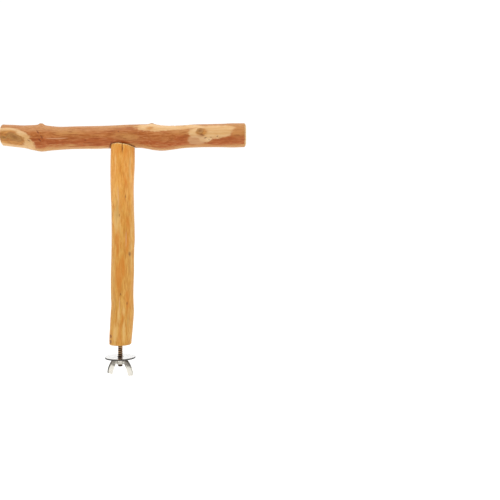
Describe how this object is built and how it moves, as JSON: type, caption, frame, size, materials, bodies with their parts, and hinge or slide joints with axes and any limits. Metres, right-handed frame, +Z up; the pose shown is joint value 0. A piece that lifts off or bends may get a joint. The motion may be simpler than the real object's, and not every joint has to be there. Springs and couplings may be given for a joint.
{
  "type": "bird perch",
  "caption": "Natural wood T perch: a branch bar on a post that clamps to cage wires or a board with a threaded stud, a wide washer and a wing nut.",
  "frame": {"origin": "centre of the post's sawn foot, on the stud's axis", "axes": "+Z up the stud and the post, +X along the bar towards its right end as pictured, -Y towards the picture's camera"},
  "size_m": [0.2, 0.025, 0.2064],
  "materials": {
    "bar_wood": "reddish inner bark left on in streaks, peeled to pale yellow wood in patches, matte",
    "post_wood": "peeled branch, warm orange-yellow with long streaks, low sheen",
    "screw_steel": "plain steel, hidden in the wood",
    "stud_steel": "zinc plate with brown oil stain in the thread",
    "washer_zinc": "bright zinc plate with fine stamping marks",
    "nut_zinc": "bright plate on a cold-formed blank"
  },
  "bodies": {
    "perch": {"perch_bar": "bar_wood", "post": "post_wood", "dowel_screw": "screw_steel", "hanger_bolt": "stud_steel"},
    "washer": {"clamp_washer": "washer_zinc"},
    "nut": {"wing_nut": "nut_zinc"}
  },
  "joints": [
    {"name": "washer_slide", "type": "slide", "parent": "perch", "child": "washer", "axis": [0, 0, 1], "range_m": [-0.0053, 0.0097]},
    {"name": "nut_turn", "type": "hinge", "parent": "washer", "child": "nut", "pos_m": [0, 0, -0.01125], "axis": [0, 0, 1], "range_deg": [-2700, 4968]}
  ],
  "couplings": [
    {"joint": "washer_slide", "follows": "nut_turn", "m_per_rad": 0.00011141}
  ]
}
